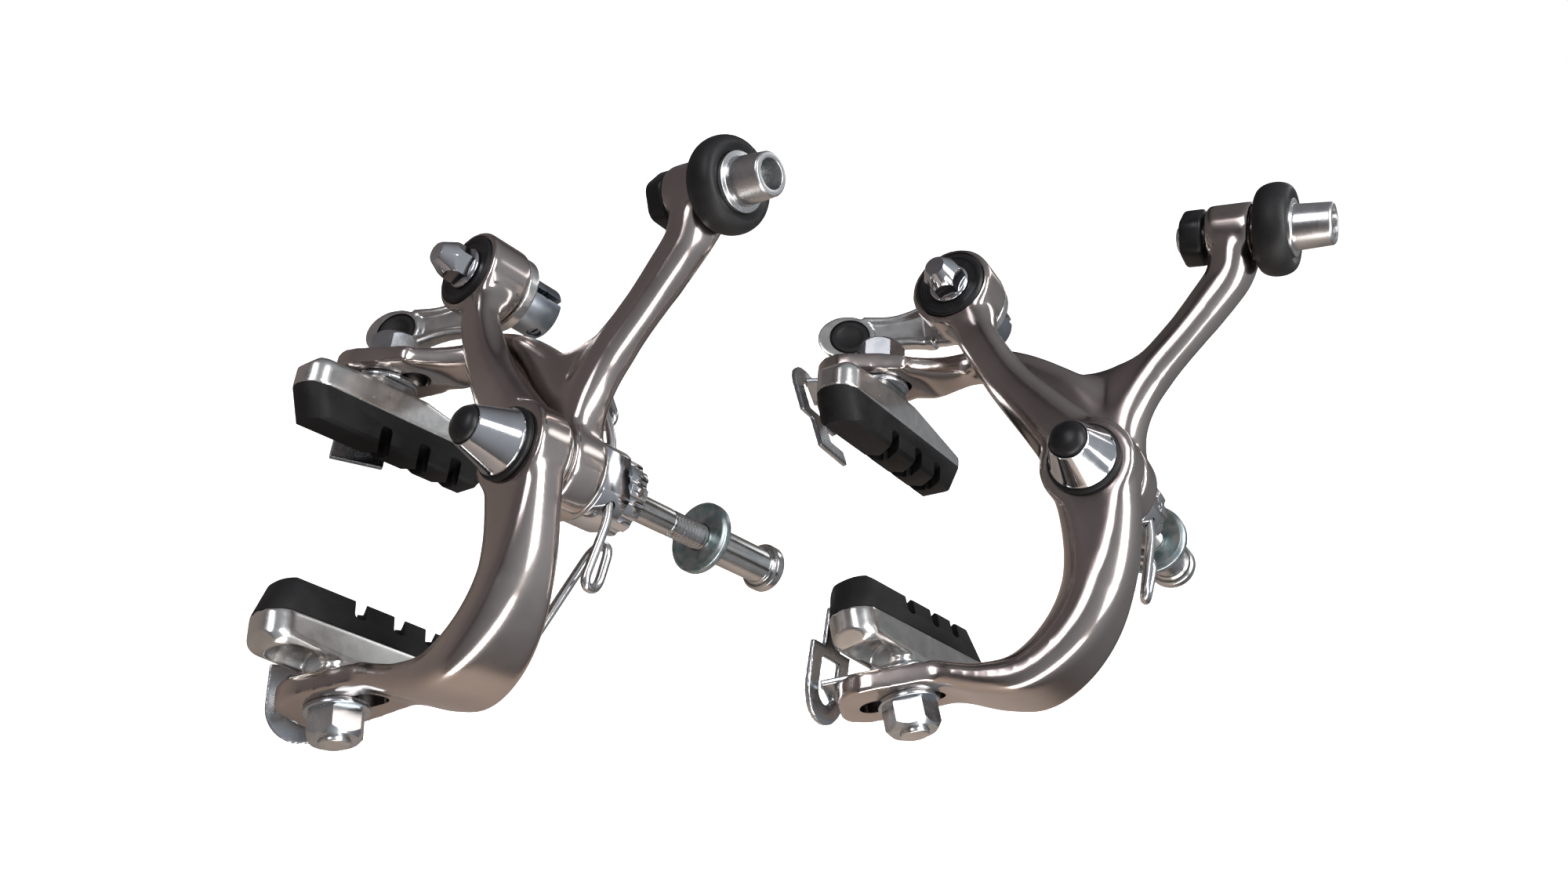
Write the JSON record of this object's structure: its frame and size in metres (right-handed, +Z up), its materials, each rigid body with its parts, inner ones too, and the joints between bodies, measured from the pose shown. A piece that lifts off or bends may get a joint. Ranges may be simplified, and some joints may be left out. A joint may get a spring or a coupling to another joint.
{
  "type": "pair of caliper brakes",
  "caption": "Front and rear side-pull caliper brakes for a road bicycle, with toothed seat nuts, slotted arms, brake shoes, quick-release levers and cable adjusters.",
  "frame": {"origin": "on the axis of the front caliper's bolt, in the plane of its seat face", "axes": "+Y back along the front caliper's bolt, +Z up, +X to the right as seen from the front"},
  "size_m": [0.1155, 0.1624, 0.2058],
  "materials": {
    "arm_alloy": "polished, grey-bronze anodised",
    "cast_alloy": "bright cast and tumbled",
    "plain_alloy": "turned, satin",
    "bright_plate": "bright plated",
    "plated_steel": "plated, fine turned",
    "zinc_steel": "zinc plated, faint blue",
    "spring_steel": "plated wire",
    "black_plastic": "black, satin",
    "soft_rubber": "black, smooth",
    "pad_rubber": "black, matte moulded"
  },
  "bodies": {
    "frame_side": {"front_centre_bolt": "plated_steel", "front_cap_nut": "bright_plate", "front_cap_plug": "black_plastic", "front_cap_washer": "black_plastic", "front_pivot_washers": "plated_steel", "front_spring_block": "bright_plate", "front_return_spring": "spring_steel", "front_seat_nut": "bright_plate", "front_recess_washer": "zinc_steel", "front_recess_nut": "plated_steel", "rear_centre_bolt": "plated_steel", "rear_cap_nut": "bright_plate", "rear_cap_plug": "black_plastic", "rear_cap_washer": "black_plastic", "rear_pivot_washers": "plated_steel", "rear_spring_block": "bright_plate", "rear_return_spring": "spring_steel", "rear_seat_nut": "bright_plate", "rear_recess_washer": "zinc_steel", "rear_recess_nut": "plated_steel"},
    "front_c_arm_set": {"front_c_arm": "arm_alloy", "front_c_shoe_holder": "cast_alloy", "front_c_pad": "pad_rubber", "front_c_shoe_washer": "zinc_steel", "front_c_shoe_nut": "zinc_steel", "front_c_wheel_guide": "zinc_steel"},
    "front_y_arm_set": {"front_y_arm": "arm_alloy", "front_y_shoe_holder": "cast_alloy", "front_y_pad": "pad_rubber", "front_y_shoe_washer": "zinc_steel", "front_y_shoe_nut": "zinc_steel", "front_y_wheel_guide": "zinc_steel", "front_lock_nut": "black_plastic"},
    "front_release_set": {"front_release_lever": "cast_alloy", "front_lever_button": "black_plastic", "front_release_disc": "black_plastic", "front_release_nut": "bright_plate", "front_cable_anchor": "zinc_steel"},
    "front_barrel": {"front_adjuster_barrel": "plain_alloy"},
    "front_knob": {"front_adjuster_knob": "soft_rubber"},
    "rear_c_arm_set": {"rear_c_arm": "arm_alloy", "rear_c_shoe_holder": "cast_alloy", "rear_c_pad": "pad_rubber", "rear_c_shoe_washer": "zinc_steel", "rear_c_shoe_nut": "zinc_steel", "rear_c_wheel_guide": "zinc_steel"},
    "rear_y_arm_set": {"rear_y_arm": "arm_alloy", "rear_y_shoe_holder": "cast_alloy", "rear_y_pad": "pad_rubber", "rear_y_shoe_washer": "zinc_steel", "rear_y_shoe_nut": "zinc_steel", "rear_y_wheel_guide": "zinc_steel", "rear_lock_nut": "black_plastic"},
    "rear_release_set": {"rear_release_lever": "cast_alloy", "rear_lever_button": "black_plastic", "rear_release_disc": "black_plastic", "rear_release_nut": "bright_plate", "rear_cable_anchor": "zinc_steel"},
    "rear_barrel": {"rear_adjuster_barrel": "plain_alloy"},
    "rear_knob": {"rear_adjuster_knob": "soft_rubber"}
  },
  "joints": [
    {"name": "front_c_swing", "type": "hinge", "parent": "frame_side", "child": "front_c_arm_set", "pos_m": [0, 0, 0], "axis": [0, 1, 0], "range_deg": [0, 14], "stiffness_Nm_per_rad": 1.2, "springref_deg": -8.59, "deforming": ["front_return_spring"]},
    {"name": "front_y_swing", "type": "hinge", "parent": "frame_side", "child": "front_y_arm_set", "pos_m": [0, 0, 0], "axis": [0, -1, 0], "range_deg": [0, 14], "stiffness_Nm_per_rad": 1.2, "springref_deg": -8.59},
    {"name": "front_release_turn", "type": "hinge", "parent": "front_c_arm_set", "child": "front_release_set", "pos_m": [-0.057, -0.01615, -0.025], "axis": [0, 1, 0], "range_deg": [0, 90]},
    {"name": "front_barrel_travel", "type": "slide", "parent": "front_y_arm_set", "child": "front_barrel", "axis": [0.2924, 0, 0.9563], "range_m": [0, 0.003]},
    {"name": "front_knob_turn", "type": "hinge", "parent": "front_barrel", "child": "front_knob", "pos_m": [-0.0501, -0.0176, 0.0372], "axis": [0.2924, 0, 0.9563], "range_deg": [0, 1080]},
    {"name": "rear_c_swing", "type": "hinge", "parent": "frame_side", "child": "rear_c_arm_set", "pos_m": [0, 0.0798, 0.0778], "axis": [0, 0.9925, -0.1219], "range_deg": [0, 14], "stiffness_Nm_per_rad": 1.2, "springref_deg": -8.59, "deforming": ["rear_return_spring"]},
    {"name": "rear_y_swing", "type": "hinge", "parent": "frame_side", "child": "rear_y_arm_set", "pos_m": [0, 0.0798, 0.0778], "axis": [0, -0.9925, 0.1219], "range_deg": [0, 14], "stiffness_Nm_per_rad": 1.2, "springref_deg": -8.59},
    {"name": "rear_release_turn", "type": "hinge", "parent": "rear_c_arm_set", "child": "rear_release_set", "pos_m": [-0.057, 0.06072, 0.05495], "axis": [0, 0.9925, -0.1219], "range_deg": [0, 90]},
    {"name": "rear_barrel_travel", "type": "slide", "parent": "rear_y_arm_set", "child": "rear_barrel", "axis": [0.2924, 0.1165, 0.9492], "range_m": [0, 0.003]},
    {"name": "rear_knob_turn", "type": "hinge", "parent": "rear_barrel", "child": "rear_knob", "pos_m": [-0.0501, 0.06686, 0.11687], "axis": [0.2924, 0.1165, 0.9492], "range_deg": [0, 1080]}
  ],
  "couplings": [
    {"joint": "front_knob_turn", "follows": "front_barrel_travel", "rad_per_m": 6283.2},
    {"joint": "rear_knob_turn", "follows": "rear_barrel_travel", "rad_per_m": 6283.2}
  ]
}
